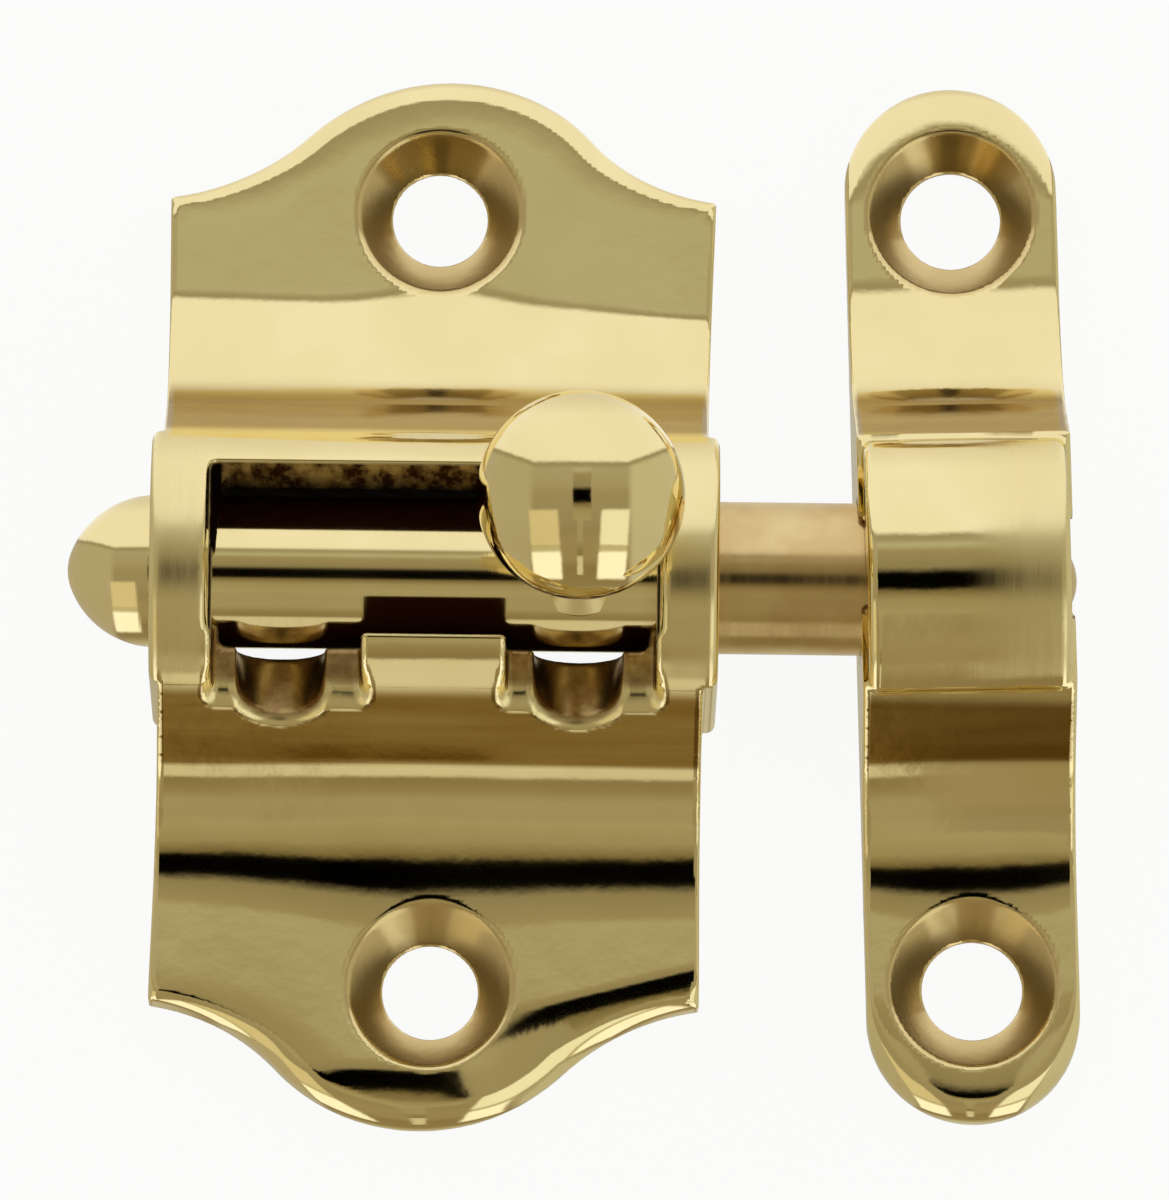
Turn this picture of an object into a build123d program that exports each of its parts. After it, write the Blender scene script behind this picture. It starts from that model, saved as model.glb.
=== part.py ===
from build123d import *
import math
import os

# Brass slide bolt with a turn-down ball knob, and its keeper, in millimetres.
# The castings lie with their flat backs on Z = 0. X runs along the rod towards the keeper,
# Y along the plate towards its upper screw hole, Z out of the mounting face.
# The origin is on the back face, under the rod, midway between the two screw holes.
# The bolt is drawn thrown: its tip stands in the keeper.

# Rod
rod_radius = 3.175
rod_left_tip_x = -15.3
rod_right_tip_x = 26.75
nose_tip_radius = 2.15
nose_side_radius = 3.8
axis_height = 5.9
throw = 12.35

# Section that the housing and the keeper share
flange_thickness = 1.8
barrel_radius = 6.05
crease_angle = 62.0
sweep_foot_y = 13.95
sweep_end_y = 11.2
sweep_rise = 0.68
hollow_y = 8.0
hollow_round = 0.9
flank_sagitta = 0.12

# Housing outline
plate_height = 45.0
plate_waist_half = 11.4
plate_corner_half = 11.6
plate_corner_y = 17.3
crown_radius = 8.5
crown_half_chord = 6.0
plate_edge_round = 0.7
barrel_half_length = 11.8
barrel_end_round = 0.4

# Bores and window
housing_bore_clearance = 0.08
keeper_bore_clearance = 0.2
pocket_half_length = 9.2
pocket_side_clearance = 0.4
pocket_corner_round = 0.3

# Notches and the drilled cups that the knob's stem drops into
knob_station_x = 6.0
tongue_half_width = 3.0
notch_floor_above_axis = 1.9
cup_radius = 1.82
lock_angle = 66.0
cup_drill_length = 9.0

# Screw holes
base_hole_spacing = 33.3
base_hole_radius = 2.0
base_sink_radius = 3.5
base_hole_land = 0.3
keeper_hole_spacing = 33.2
keeper_hole_radius = 2.1
keeper_sink_radius = 3.55
keeper_hole_land = 0.3

# Keeper outline
keeper_x = 22.1
keeper_height = 44.5
keeper_width = 8.9
keeper_barrel_width = 8.44
keeper_edge_round = 0.7

# Knob
ball_radius = 4.3
ball_height = 11.3
rest_lean = 4.0
stem_radius = 1.35
flare_radius = 2.4
flare_rim_height = 2.3
flare_taper_radius = 1.52
flare_taper_height = 3.4
stem_waist_height = 4.6
saddle_clearance = 0.03
ball_neck_round = 0.5

# Worked-out places
pocket_half_width = rod_radius + pocket_side_clearance
crease_half_width = barrel_radius * math.sin(math.radians(crease_angle))
crease_z = axis_height + barrel_radius * math.cos(math.radians(crease_angle))
cut_margin = 5.0


def cove_section():
    """Back, flange, sweep, slope, hollow and steep flank up to the crease, drawn on one side and mirrored."""
    foot = (sweep_foot_y, flange_thickness)
    sweep_end = (sweep_end_y, flange_thickness + sweep_rise)
    crease = (crease_half_width, crease_z)
    with BuildSketch(Plane.YZ) as section:
        with BuildLine():
            sweep = TangentArc(foot, sweep_end, tangent=(-1, 0))
            slope = sweep % 1
            hollow_rise = (sweep_end_y - hollow_y) * slope.Y / -slope.X
            hollow = (hollow_y, sweep_end[1] + hollow_rise)
            Line(sweep_end, hollow)
            SagittaArc(hollow, crease, flank_sagitta)
            Polyline(crease, (0, crease_z), (0, 0), (plate_height, 0), (plate_height, flange_thickness), foot)
        make_face()
        fillet(section.vertices().sort_by_distance(Vector(*hollow))[0], hollow_round)
        mirror(about=Plane.YZ)
    return section.sketch


def barrel_section():
    """The half-round over the rod, closed down to the back between the creases."""
    with BuildSketch(Plane.YZ) as section:
        with BuildLine():
            ThreePointArc(
                (crease_half_width, crease_z),
                (0, axis_height + barrel_radius),
                (-crease_half_width, crease_z),
            )
            Polyline(
                (-crease_half_width, crease_z),
                (-crease_half_width, 0),
                (crease_half_width, 0),
                (crease_half_width, crease_z),
            )
        make_face()
    return section.sketch


def housing_outline():
    """Waisted plate with an ogee at each end: a crown between two hollow flares."""
    crown_end_y = plate_height / 2 - crown_radius + math.sqrt(crown_radius**2 - crown_half_chord**2)
    corner = (plate_corner_half, plate_corner_y)
    with BuildSketch() as outline:
        with BuildLine():
            crown = ThreePointArc(
                (-crown_half_chord, crown_end_y), (0, plate_height / 2), (crown_half_chord, crown_end_y)
            )
            right_flare = TangentArc(crown @ 1, corner, tangent=crown % 1)
            left_flare = mirror(right_flare, about=Plane.YZ)
            mirror([crown, right_flare, left_flare], about=Plane.XZ)
            side = ThreePointArc(corner, (plate_waist_half, 0), (plate_corner_half, -plate_corner_y))
            mirror(side, about=Plane.YZ)
        make_face()
    return outline.sketch


def keeper_outline():
    """Narrow strip with round ends."""
    with BuildSketch() as outline:
        with Locations((keeper_x, 0)):
            SlotOverall(keeper_height, keeper_width, rotation=90)
    return outline.sketch


def moulded_plate(outline, edge_round):
    """The flange and cove section cut to an outline, with its front edge rounded all the way along."""
    longest = abs(outline.center().X) + plate_height
    bar = extrude(cove_section(), longest, both=True)
    body = bar & extrude(outline, crease_z + cut_margin)
    front = body.edges().filter_by(lambda e: e.bounding_box().min.Z > flange_thickness / 2)
    along_the_rod = front.filter_by(Axis.X)
    rim = [e for e in front if e not in along_the_rod]
    return fillet(rim, edge_round)


def barrel(centre_x, length, end_round):
    """A length of the half-round barrel with softened ends."""
    body = Pos(centre_x, 0, 0) * extrude(barrel_section(), length / 2, both=True)
    arcs = body.edges().filter_by(GeomType.CIRCLE)
    return fillet(arcs, end_round)


def screw_hole(x, y, hole_radius, sink_radius, land):
    """Through hole with a countersink that ends in a short straight land at the back."""
    from_back = (Align.CENTER, Align.CENTER, Align.MIN)
    sink_depth = flange_thickness - land
    hole = Pos(x, y, -cut_margin) * Cylinder(hole_radius, cut_margin + flange_thickness, align=from_back)
    sink = Pos(x, y, land) * Cone(hole_radius, sink_radius, sink_depth, align=from_back)
    clear = Pos(x, y, flange_thickness) * Cylinder(sink_radius, cut_margin, align=from_back)
    return hole + sink + clear


def bore(radius, centre_x, length):
    """A straight bore for the rod."""
    return Pos(centre_x, 0, axis_height) * Rot(0, 90, 0) * Cylinder(radius, length)


def pocket():
    """The window, cut through from the barrel's top to the open back."""
    depth = axis_height + barrel_radius + cut_margin
    block = Box(2 * pocket_half_length, 2 * pocket_half_width, depth, align=(Align.CENTER, Align.CENTER, Align.MIN))
    block = fillet(block.edges().filter_by(Axis.Z), pocket_corner_round)
    return Pos(0, 0, -cut_margin / 2) * block


def notch(side):
    """The step in the lower wall, from the tongue to the window's end, that lets the knob's stem down."""
    floor_z = axis_height + notch_floor_above_axis
    reach = barrel_radius + cut_margin
    width = pocket_half_length - tongue_half_width
    block = Box(width, reach, reach, align=(Align.CENTER, Align.MAX, Align.MIN))
    low_corners = block.edges().filter_by(Axis.Y).group_by(Axis.Z)[0]
    block = fillet(low_corners, pocket_corner_round)
    return Pos(side * (tongue_half_width + width / 2), 0, floor_z) * block


def cup(centre_x):
    """The drilled seat under the notch, square to the rod at the angle where the knob lies locked."""
    drill = Cylinder(cup_radius, cup_drill_length, align=(Align.CENTER, Align.CENTER, Align.MIN))
    return Pos(centre_x, 0, axis_height) * Rot(lock_angle, 0, 0) * drill


def housing():
    body = moulded_plate(housing_outline(), plate_edge_round)
    body += barrel(0, 2 * barrel_half_length, barrel_end_round)
    body -= pocket()
    body -= bore(rod_radius + housing_bore_clearance, 0, 2 * barrel_half_length + cut_margin)
    body -= notch(1)
    body -= notch(-1)
    for station in (knob_station_x, knob_station_x - throw):
        body -= cup(station)
    for side in (1, -1):
        y = side * base_hole_spacing / 2
        body -= screw_hole(0, y, base_hole_radius, base_sink_radius, base_hole_land)
    return body


def keeper():
    body = moulded_plate(keeper_outline(), keeper_edge_round)
    body += barrel(keeper_x, keeper_barrel_width, barrel_end_round)
    body -= bore(rod_radius + keeper_bore_clearance, keeper_x, keeper_width + cut_margin)
    for side in (1, -1):
        y = side * keeper_hole_spacing / 2
        body -= screw_hole(keeper_x, y, keeper_hole_radius, keeper_sink_radius, keeper_hole_land)
    return body


def nose(tip_x, side):
    """Bullet profile from the tip back to the rod's full radius: a round tip, then a longer arc."""
    radius_step = nose_side_radius - nose_tip_radius
    centre_drop = nose_side_radius - rod_radius
    back = math.sqrt(radius_step**2 - centre_drop**2)
    join_angle = math.atan2(centre_drop, back)
    join = (
        tip_x + side * (nose_tip_radius - nose_tip_radius * math.cos(join_angle)),
        nose_tip_radius * math.sin(join_angle),
    )
    shoulder = (tip_x + side * (nose_tip_radius + back), rod_radius)
    tip_arc = TangentArc((tip_x, 0), join, tangent=(0, 1))
    TangentArc(join, shoulder, tangent=tip_arc % 1)
    return shoulder


def bolt_rod():
    """Round rod with a bullet nose at each end, turned about its own axis."""
    with BuildSketch() as half:
        with BuildLine():
            left_shoulder = nose(rod_left_tip_x, 1)
            right_shoulder = nose(rod_right_tip_x, -1)
            Line(left_shoulder, right_shoulder)
            Line((rod_left_tip_x, 0), (rod_right_tip_x, 0))
        make_face()
    turned = revolve(half.sketch, Axis.X)
    return Pos(0, 0, axis_height) * turned


def knob():
    """Ball on a waisted stem that flares to a saddle on the rod, turned about its own axis."""
    neck_top = ball_height - math.sqrt(ball_radius**2 - stem_radius**2)
    crown = (0, ball_height + ball_radius)
    with BuildSketch(Plane.XZ) as half:
        with BuildLine():
            Polyline(
                crown,
                (0, 0),
                (flare_radius, 0),
                (flare_radius, flare_rim_height),
                (flare_taper_radius, flare_taper_height),
            )
            waist = (stem_radius, stem_waist_height)
            TangentArc(waist, (flare_taper_radius, flare_taper_height), tangent=(0, -1))
            Line(waist, (stem_radius, neck_top))
            ThreePointArc((stem_radius, neck_top), (ball_radius, ball_height), crown)
        make_face()
    turned = revolve(half.sketch, Axis.Z)
    neck = turned.edges().filter_by(GeomType.CIRCLE).sort_by(lambda e: abs(e.center().Z - neck_top))[0]
    turned = fillet(neck, ball_neck_round)
    turned -= Rot(0, 90, 0) * Cylinder(rod_radius + saddle_clearance, 4 * rod_radius)
    upright = turned.solids().sort_by(Axis.Z)[-1]
    return Pos(knob_station_x, 0, axis_height) * Rot(-rest_lean, 0, 0) * upright


def write(name, shape):
    export_step(shape, f"parts/{name}.step")


os.makedirs("parts", exist_ok=True)
write("housing", housing())
write("keeper", keeper())
write("bolt_rod", bolt_rod())
write("knob", knob())
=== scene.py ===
import bmesh
import bpy
import math
import numpy as np
from mathutils import Matrix


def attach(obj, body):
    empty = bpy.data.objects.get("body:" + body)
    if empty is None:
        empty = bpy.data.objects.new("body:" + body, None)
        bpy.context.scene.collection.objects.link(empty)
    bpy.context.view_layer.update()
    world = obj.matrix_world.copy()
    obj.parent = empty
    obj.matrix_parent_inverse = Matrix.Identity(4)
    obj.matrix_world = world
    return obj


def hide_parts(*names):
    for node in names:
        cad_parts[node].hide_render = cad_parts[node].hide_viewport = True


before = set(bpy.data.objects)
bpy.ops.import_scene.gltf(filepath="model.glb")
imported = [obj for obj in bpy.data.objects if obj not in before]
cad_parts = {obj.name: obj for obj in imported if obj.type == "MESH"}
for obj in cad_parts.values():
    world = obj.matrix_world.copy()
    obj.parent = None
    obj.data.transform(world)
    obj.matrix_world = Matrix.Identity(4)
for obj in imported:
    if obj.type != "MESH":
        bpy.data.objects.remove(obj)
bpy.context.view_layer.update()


# Housing: one sand-cast brass plate with a half-round barrel over the rod, polished outside.
# The window was cast rough; the rod's bore, the two cups and the countersinks were drilled.
# It screws to the door through its two countersunk holes.
HOUSING = {
    "axis": 5.9, "radius": 6.05, "half_length": 11.8, "window": (9.42, 3.575), "bore": 3.255,
    "flange": 1.8, "slope": math.radians(27.8), "crease": (5.342, 8.74),
    "upper_hollow": (8.2, 0.9), "lower_hollow": (8.5, 0.8),
    "tongue": 3.0, "floor": 7.8, "cup": 1.82, "stations": (6.0, -6.35), "lock": math.radians(66),
    "holes": 16.65, "hole": 2.0, "sink": 3.5, "land": 0.3,
}


def join(a, b, fillet):
    """Union of two fields with a fillet in the corner between them."""
    inner = np.hypot(np.maximum(fillet - a, 0), np.maximum(fillet - b, 0))
    return np.maximum(fillet, np.minimum(a, b)) - inner


def meet(a, b, edge):
    """What two fields share, with the edge between them rounded."""
    outer = np.hypot(np.maximum(edge + a, 0), np.maximum(edge + b, 0))
    return np.minimum(-edge, np.maximum(a, b)) + outer


def cut(a, b, edge):
    """The first field without the second, with the edge between them rounded."""
    return meet(a, -b, edge)


def smooth(x, low, high):
    """0 at low and 1 at high, with a soft start and end."""
    t = np.clip((x - low) / (high - low), 0, 1)
    return t * t * (3 - 2 * t)


def wave(x, y, z, length, seed):
    """Slow hand-made unevenness, about -1 to 1, with bumps about that length in mm."""
    k = 2 * math.pi / length
    total = 0
    for n in range(5):
        a, b, c, turn = (math.sin(seed * 12.9 + n * 78.2 + m * 37.7) for m in range(4))
        total = total + np.sin(k * (a * x + b * y + c * z) + 9 * turn)
    return total / 3


def grainy(x, y, z, seed):
    """The finer unevenness of a sand-cast wall."""
    return 0.6 * wave(x, y, z, 1.9, seed) + 0.4 * wave(z, x, y, 0.9, seed + 2.3)


def hand_polished(x, y, z, length, seed, fine_seed):
    """Height with the slow waves that polishing by hand leaves."""
    return z + 0.012 * wave(x, y, z, length, seed) + 0.004 * wave(x, y, z, 5.0, fine_seed)


def bump_at(x, centre, width):
    """A single soft bump, 1 at its centre."""
    return np.exp(-(((x - centre) / width) ** 2))


def steepening(d, *ramps):
    """Depth of a surface that gets steeper by each amount between its two distances."""
    depth = 0
    for amount, start, end in ramps:
        turning = (np.clip(d, start, end) - start) ** 2 / (2 * (end - start))
        depth = depth + amount * (turning + np.maximum(d - end, 0))
    return depth


def sweep_up(y, z, corner, rise_radius, hollow, hollow_radius):
    """The flange, its sweep, slope, hollow and steep flank, as a height above the skin."""
    flange, slope, crease = HOUSING["flange"], HOUSING["slope"], HOUSING["crease"]
    sn, cs, half_tan = math.sin(slope), math.cos(slope), math.tan(slope / 2)
    foot = corner + rise_radius * half_tan
    end_y = foot - rise_radius * sn
    end_z = flange + rise_radius * (1 - cs)
    corner_z = flange + (corner - hollow) * math.tan(slope)
    flank = np.arctan2(crease[1] - corner_z, hollow - crease[0])
    fs, fc = np.sin(flank), np.cos(flank)
    steep = (y - hollow) * fs + (z - corner_z) * fc
    arc = rise_radius - np.hypot(y - foot, z - flange - rise_radius)
    straight = (y - end_y) * sn + (z - end_z) * cs
    past_end = (y - end_y) * cs - (z - end_z) * sn
    rise = np.where(y > foot, z - flange, np.where(past_end > 0, arc, straight))
    return join(rise, steep, hollow_radius)


def both_sweeps(far, z, upper, corner, rise_radius):
    """The section over the upper and the lower half, whose hollows differ a little."""
    return np.where(
        upper,
        sweep_up(far, z, corner, rise_radius, *HOUSING["upper_hollow"]),
        sweep_up(far, z, corner, rise_radius, *HOUSING["lower_hollow"]),
    )


def arch(y, z, axis, radius, half_width):
    """The half-round of the barrel, closed down to the back between the creases."""
    round_top = np.where(z > axis, np.hypot(y, z - axis) - radius, y - half_width)
    return np.maximum(np.abs(y) - half_width, round_top)


def drilled(x, y, z, radius, sink_radius):
    """A screw hole with its countersink."""
    r, land = np.hypot(x, y), HOUSING["land"]
    run, rise = sink_radius - radius, HOUSING["flange"] - land
    cone = ((r - radius) * rise - (z - land) * run) / math.hypot(run, rise)
    return np.minimum(r - radius, cone)


def both_sinks(x, y, z, piece):
    top = drilled(x, y - piece["holes"], z, piece["hole"], piece["sink"])
    return np.minimum(top, drilled(x, y + piece["holes"], z, piece["hole"], piece["sink"]))


def box_field(x, y, low, high, corner):
    """A rectangle with rounded corners, as a distance in its own plane."""
    qx = np.abs(x - (low[0] + high[0]) / 2) - (high[0] - low[0]) / 2 + corner
    qy = np.abs(y - (low[1] + high[1]) / 2) - (high[1] - low[1]) / 2 + corner
    return np.hypot(np.maximum(qx, 0), np.maximum(qy, 0)) + np.minimum(np.maximum(qx, qy), 0) - corner


def ogee_outline(x, y):
    """The waisted plate: a crown between two hollow flares at each end."""
    crown, half_chord, end = 8.5, 6.0, 22.5
    corner, waist, side_bow, side_edge = (11.5, 17.3), 11.3, 0.2, 0.12
    centre_y = end - crown
    start = (half_chord, centre_y + math.sqrt(crown**2 - half_chord**2))
    tilt = math.asin(half_chord / crown)
    ct, st = math.cos(tilt), math.sin(tilt)
    run, drop = corner[0] - start[0], start[1] - corner[1]
    flare = math.hypot(run, drop) / (2 * math.sin(tilt - math.atan2(drop, run)))
    flare_centre = (start[0] + flare * st, start[1] + flare * ct)
    x, y = np.abs(x), np.abs(y)
    on_flare = (x - start[0]) * ct - (y - start[1]) * st > 0
    top = np.where(
        on_flare,
        flare - np.hypot(x - flare_centre[0], y - flare_centre[1]),
        np.hypot(x, y - centre_y) - crown,
    )
    side = x - waist - side_bow * (y / corner[1]) ** 2
    return meet(top, side, side_edge)


def housing_window(p):
    """The window, left as cast: its walls draw in a little towards the back and are rough."""
    x, y, z = p.T
    half_x, half_y = HOUSING["window"]
    draft = 0.2 * np.clip(10.9 - z, 0, 2.5)
    rough = 0.035 * grainy(x, y, z, 3.1) * smooth(10.6 - z, 0, 0.9)
    rough = rough * np.maximum(smooth(y, 3.0, 3.4), 0.4)
    return box_field(x, y, (draft - half_x, -half_y), (half_x - draft, half_y), 0.3) + rough


def housing_cups(p):
    """The two drilled seats, square to the rod where the knob lies locked."""
    h = HOUSING
    x, y, z = p.T
    out = np.full(len(x), 50.0)
    along = -y * math.sin(h["lock"]) + (z - h["axis"]) * math.cos(h["lock"])
    across = -y * math.cos(h["lock"]) - (z - h["axis"]) * math.sin(h["lock"])
    for n, station in enumerate(h["stations"]):
        ragged = 0.07 * wave(x, y, z, 3.4, 5.3 + n) * smooth(-y, 4.6, 6.0)
        out = np.minimum(out, np.maximum(np.hypot(x - station, across) - h["cup"] + ragged, -along))
    return out


def housing_notches(p):
    """The two steps in the lower wall that let the knob's stem down, one each side of the tongue."""
    h = HOUSING
    x, y, z = p.T
    out = np.full(len(x), 50.0)
    ragged = 0.07 * wave(x, y, z, 3.8, 8.8) * smooth(-y, 4.4, 5.6)
    sag = 0.12 * smooth(-y, 4.2, 6.0) * bump_at(np.abs(x), 6.2, 2.2)
    end = h["window"][0] - 0.2
    for low, high in ((h["tongue"], end), (-end, -h["tongue"])):
        step = box_field(x, -z, (low, -30.0), (high, sag - h["floor"]), 0.3)
        out = np.minimum(out, np.maximum(step, y) + ragged)
    return out


def housing_sinks(p):
    return both_sinks(*p.T, HOUSING)


def housing_bore(p):
    x, y, z = p.T
    return np.hypot(y, z - HOUSING["axis"]) - HOUSING["bore"]


def housing_wear(x, y, outline):
    """How far the wheel took the flange down: a little along its edge, more at two lower places."""
    far = np.abs(y)
    at_edge = 1 - np.clip(-outline / 2.2, 0, 1)
    along_edge = 0.1 * smooth(far, 15.6, 19.6) * at_edge**2
    past_shoulder = 0.248 * (x - 4.2) - 0.969 * (y + 17.9)
    shoulder = steepening(past_shoulder, (0.19, -0.6, -0.25), (0.1, -0.25, 0.4), (0.03, 0.4, 1.4))
    shoulder = shoulder * smooth(x, -0.5, 6.2)
    crown = steepening(far - 20.95, (0.19, -1.1, -0.6), (0.1, -0.6, 0.62))
    crown = crown * np.exp(-(((x + 1.45) / 3.4) ** 4))
    return along_edge + np.where(y > 0, 0.0, shoulder + crown)


def housing_sweep(x, upper):
    """The sweep's radius, and where its two tangents meet. Both change a little along the rod."""
    rise = np.where(upper, 5.0 + 3.6 * bump_at(x, 0.3, 3.0), 8.8 + 1.8 * bump_at(x, -0.5, 6.0))
    rise = rise - np.where(upper, 1.5 * smooth(x, 5.0, 11.0), 1.6 * smooth(-x, 1.0, 11.5))
    return rise, np.where(upper, 11.75 - 0.02 * x, 10.75 + 0.0945 * rise)


def housing_field(p):
    """The whole casting in mm: negative inside the brass."""
    h = HOUSING
    x, y, z = p.T
    upper = y > 0
    far = np.abs(y)
    z_hand = hand_polished(x, y, z, 13.0, 1.7, 4.2)
    lean = -0.06 + 0.012 * y + np.where(upper, 0.25, -0.12) * smooth(far, 17.3, 21.5)
    outline = ogee_outline(x - lean, y)
    rise, corner = housing_sweep(x, upper)
    above = both_sweeps(far, z_hand + housing_wear(x, y, outline), upper, corner, rise)
    above = np.maximum(above, z - h["crease"][1])
    rim = 0.14 + 0.44 * smooth(far, 16.2, 17.4) + 0.32 * smooth(far, 17.0, 19.5)
    plate = meet(above, outline, rim)
    arch_end = np.abs(x) - h["half_length"]
    barrel = meet(arch(y, z_hand, h["axis"], h["radius"], h["crease"][0]), arch_end, 0.4)
    body = join(plate, barrel, 0.1)
    body = meet(body, -z, 0.05)
    body = cut(body, housing_window(p), 0.28)
    body = cut(body, housing_bore(p), 0.06)
    notches, cups = housing_notches(p), housing_cups(p)
    lip = np.clip(1 - np.minimum(notches, cups) / 0.5, 0, 1) ** 2
    body = body + 0.1 * lip * smooth(-y, 4.6, 5.6)
    lip = 0.2 + 0.22 * smooth(-y, 4.6, 5.6)
    body = cut(body, notches, lip)
    body = cut(body, cups, lip)
    return cut(body, housing_sinks(p), 0.1)


def slope_of(field, p, reach=0.01):
    """The field's own steepest direction at each point."""
    out = np.empty_like(p)
    for axis in range(3):
        shift = np.zeros(3)
        shift[axis] = reach
        out[:, axis] = (field(p + shift) - field(p - shift)) / (2 * reach)
    return out


def sampled(field, low, count, step, block=4):
    """The field on a grid of points, worked out in full only in the blocks that the skin may cross."""
    axes = [low[i] + step * np.arange(count[i]) for i in range(3)]
    middles = [low[i] + step * block * (np.arange((count[i] - 1) // block) + 0.5) for i in range(3)]
    spots = np.stack(np.meshgrid(*middles, indexing="ij"), -1)
    coarse = field(spots.reshape(-1, 3)).reshape(spots.shape[:3])
    reach = 1.35 * step * block
    near = np.abs(coarse) < reach
    value, close = coarse, near
    for axis in range(3):
        value = np.repeat(value, block, axis)
        value = np.concatenate([value, np.take(value, [-1], axis)], axis)
        close = np.repeat(close, block, axis)
        before = np.concatenate([np.take(close, [0], axis), close], axis)
        after = np.concatenate([close, np.take(close, [-1], axis)], axis)
        close = before | after
    i, j, k = np.nonzero(close)
    value[i, j, k] = field(np.stack([axes[0][i], axes[1][j], axes[2][k]], 1))
    return value


def skin(field, low, high, step):
    """Quads on the field's zero: one point in each cell it crosses, set on its edges and corners."""
    steady, corner_spread, edge_spread = 0.03, 0.06, 0.03
    low, high = np.array(low, float), np.array(high, float)
    count = np.ceil((high - low) / step / 4).astype(int) * 4 + 1
    value = sampled(field, low, count, step)
    inside = value < 0
    shape = count - 1
    spots, slopes, owners, rings = [], [], [], []
    for axis in range(3):
        u, v = (axis + 1) % 3, (axis + 2) % 3
        here = [slice(None)] * 3
        there = [slice(None)] * 3
        here[axis], there[axis] = slice(0, -1), slice(1, None)
        a, b = value[tuple(here)], value[tuple(there)]
        at = np.argwhere((a < 0) != (b < 0))
        at = at[(at[:, u] > 0) & (at[:, v] > 0) & (at[:, u] < shape[u]) & (at[:, v] < shape[v])]
        va, vb = a[tuple(at.T)], b[tuple(at.T)]
        t0, t1 = np.zeros(len(at)), np.ones(len(at))
        line = np.zeros(3)
        line[axis] = step
        for _ in range(3):
            t = t0 + (t1 - t0) * np.clip(va / (va - vb), 0.02, 0.98)
            p = low + at * step + t[:, None] * line
            f = field(p)
            same = (f < 0) == (va < 0)
            t0, va = np.where(same, t, t0), np.where(same, f, va)
            t1, vb = np.where(same, t1, t), np.where(same, vb, f)
        n = slope_of(field, p, 0.004)
        n /= np.maximum(np.linalg.norm(n, axis=1, keepdims=True), 1e-9)
        ring = []
        for du, dv in ((0, 0), (1, 0), (1, 1), (0, 1)):
            cell = at.copy()
            cell[:, u] -= du
            cell[:, v] -= dv
            ring.append(np.ravel_multi_index(tuple(cell.T), tuple(shape)))
        ring = np.stack(ring, 1)
        first = inside[tuple(at.T)]
        ring[~first] = ring[~first][:, ::-1]
        rings.append(ring)
        for column in range(4):
            owners.append(ring[:, column])
            spots.append(p)
            slopes.append(n)
    cells, quads = np.unique(np.concatenate(rings), return_inverse=True)
    quads = quads.reshape(-1, 4)
    owner = np.searchsorted(cells, np.concatenate(owners))
    spots, slopes = np.concatenate(spots), np.concatenate(slopes)
    size = len(cells)
    hits = np.bincount(owner, minlength=size).astype(float)

    def total(values):
        return np.bincount(owner, values, size)

    mean = np.stack([total(spots[:, i]) for i in range(3)], 1) / hits[:, None]
    offset = ((spots - mean[owner]) * slopes).sum(1)
    right = np.stack([total(slopes[:, i] * offset) for i in range(3)], 1) / hits[:, None]
    square = np.empty((size, 3, 3))
    for i in range(3):
        for j in range(3):
            square[:, i, j] = total(slopes[:, i] * slopes[:, j]) / hits
    move = np.linalg.solve(square + steady * np.eye(3), right[:, :, None])[:, :, 0]
    corner = low + np.stack(np.unravel_index(cells, tuple(shape)), 1) * step
    points = np.clip(mean + move, corner + 0.03 * step, corner + 0.97 * step)
    spread, ways = np.linalg.eigh(square)
    on_edge = np.where(spread[:, 1] > edge_spread, 1, 0)
    kind = np.where(spread[:, 0] > corner_spread, 2, on_edge)
    return points, quads, kind, ways[:, :, 0]


def settle(field, points, quads, kind, way, step, rounds=4):
    """Evens the points out along the skin and puts them back on it. Sharp edges keep theirs."""
    edges = np.concatenate([quads[:, [i, (i + 1) % 4]] for i in range(4)])
    sharp = (kind[edges[:, 0]] > 0) & (kind[edges[:, 1]] > 0)

    def middle(pairs):
        degree = np.bincount(pairs.ravel(), minlength=len(points)).astype(float)
        out = np.empty_like(points)
        for axis in range(3):
            near = np.bincount(pairs[:, 0], points[pairs[:, 1], axis], len(points))
            near += np.bincount(pairs[:, 1], points[pairs[:, 0], axis], len(points))
            out[:, axis] = np.where(degree > 0, near / np.maximum(degree, 1), points[:, axis])
        return out

    for turn in range(rounds + 1):
        g = slope_of(field, points)
        size = np.maximum((g**2).sum(1), 0.05)
        move = g * (field(points) / size)[:, None]
        length = np.linalg.norm(move, axis=1, keepdims=True)
        points = points - move * np.minimum(1, 0.4 * step / np.maximum(length, 1e-9))
        if turn < rounds:
            normal = g / np.maximum(np.linalg.norm(g, axis=1, keepdims=True), 1e-9)
            pull = middle(edges) - points
            pull -= normal * (pull * normal).sum(1, keepdims=True)
            edge_pull = way * ((middle(edges[sharp]) - points) * way).sum(1, keepdims=True)
            pull = np.where(kind[:, None] == 0, pull, np.where(kind[:, None] == 1, edge_pull, 0))
            points = points + 0.5 * pull
    return points


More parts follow.
